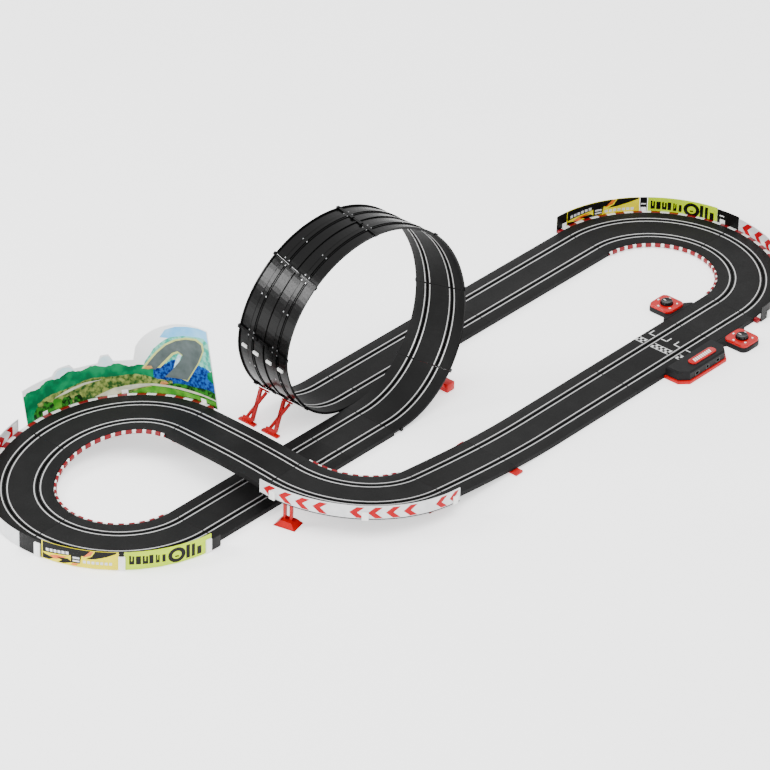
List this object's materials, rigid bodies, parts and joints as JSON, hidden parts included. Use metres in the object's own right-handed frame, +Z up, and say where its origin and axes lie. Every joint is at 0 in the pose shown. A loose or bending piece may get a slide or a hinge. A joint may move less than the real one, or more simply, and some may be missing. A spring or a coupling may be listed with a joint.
{
  "type": "slot car track set",
  "caption": "Two-lane slot car circuit with a vertical loop, a bridge crossing, a power base, lap counters, printed barriers and a scenic backdrop.",
  "frame": {"origin": "middle of the set's footprint, on the floor that the track pieces and supports rest on", "axes": "+X along the long straights towards the right-hand curve, +Y away from the power base straight, +Z up"},
  "size_m": [1.6816, 0.7635, 0.3855],
  "materials": {
    "track_plastic": "satin moulded charcoal plastic",
    "loop_plastic": "glossy black moulded plastic",
    "red_plastic": "semi-gloss red moulded plastic",
    "black_plastic": "fine-textured black moulded plastic",
    "black_gloss": "glossy black moulded plastic",
    "kerb_red": "red plastic kerb with white blocks",
    "kerb_white": "white plastic kerb with red blocks",
    "board_lime": "printed lime board with black shapes, in a clip frame",
    "board_yellow": "printed yellow and black board, in a clip frame",
    "board_chevron": "printed light grey board with red chevrons, in a clip frame",
    "backdrop_print": "printed landscape board",
    "lever_steel": "stamped steel"
  },
  "bodies": {
    "circuit": {"backdrop_board": "backdrop_print", "bridge_support_front": "red_plastic", "bridge_support_rear": "red_plastic", "curve_support_rear": "red_plastic", "fence_front_chevrons": "board_chevron", "fence_left_chevrons": "board_chevron", "fence_left_lime": "board_lime", "fence_left_yellow": "board_yellow", "fence_right_chevrons": "board_chevron", "fence_right_lime": "board_lime", "fence_right_yellow": "board_yellow", "kerb_inner_front": "kerb_red", "kerb_inner_left": "kerb_red", "kerb_inner_right": "kerb_red", "kerb_outer_front": "kerb_white", "kerb_outer_left": "kerb_white", "kerb_outer_right": "kerb_white", "lap_counter_track": "track_plastic", "lap_inner_cover": "red_plastic", "lap_inner_housing": "black_plastic", "lap_outer_cover": "red_plastic", "lap_outer_housing": "black_plastic", "loop_piece_1": "loop_plastic", "loop_piece_2": "loop_plastic", "loop_piece_3": "loop_plastic", "loop_piece_4": "loop_plastic", "loop_piece_5": "loop_plastic", "loop_piece_6": "loop_plastic", "loop_piece_7": "loop_plastic", "loop_piece_8": "loop_plastic", "loop_support_left_front": "red_plastic", "loop_support_left_rear": "red_plastic", "loop_support_right_front": "red_plastic", "loop_support_right_rear": "red_plastic", "power_base_track": "track_plastic", "power_box_cover": "black_plastic", "power_box_label": "red_plastic", "power_box_tray": "red_plastic", "power_inlet": "black_gloss", "power_jack_left": "black_gloss", "power_jack_right": "black_gloss", "ramp_support_curve": "red_plastic", "ramp_support_low": "red_plastic", "track_bridge_straight": "track_plastic", "track_front_curve": "track_plastic", "track_front_ramp": "track_plastic", "track_front_straight": "track_plastic", "track_left_curve_front": "track_plastic", "track_left_curve_rear": "track_plastic", "track_left_curve_side": "track_plastic", "track_loop_exit_straight": "track_plastic", "track_rear_straight_left": "track_plastic", "track_rear_straight_right": "track_plastic", "track_right_curve_front": "track_plastic", "track_right_curve_rear": "track_plastic", "track_underpass_straight": "track_plastic"},
    "inner_knob": {"lap_inner_knob": "black_gloss"},
    "outer_knob": {"lap_outer_knob": "black_gloss"},
    "inner_lever": {"lap_inner_lever": "lever_steel"},
    "outer_lever": {"lap_outer_lever": "lever_steel"}
  },
  "joints": [
    {"name": "inner_knob_turn", "type": "hinge", "parent": "circuit", "child": "inner_knob", "pos_m": [0.5221, -0.1817, 0.0096], "axis": [0, 0, 1], "continuous": true},
    {"name": "outer_knob_turn", "type": "hinge", "parent": "circuit", "child": "outer_knob", "pos_m": [0.5221, -0.3557, 0.0096], "axis": [0, 0, 1], "continuous": true},
    {"name": "inner_lever_trip", "type": "hinge", "parent": "circuit", "child": "inner_lever", "pos_m": [0.5221, -0.2232, 0.0028], "axis": [0, 0, 1], "range_deg": [-7, 7], "stiffness_Nm_per_rad": 0.002},
    {"name": "outer_lever_trip", "type": "hinge", "parent": "circuit", "child": "outer_lever", "pos_m": [0.5221, -0.3142, 0.0028], "axis": [0, 0, 1], "range_deg": [-7, 7], "stiffness_Nm_per_rad": 0.002}
  ]
}
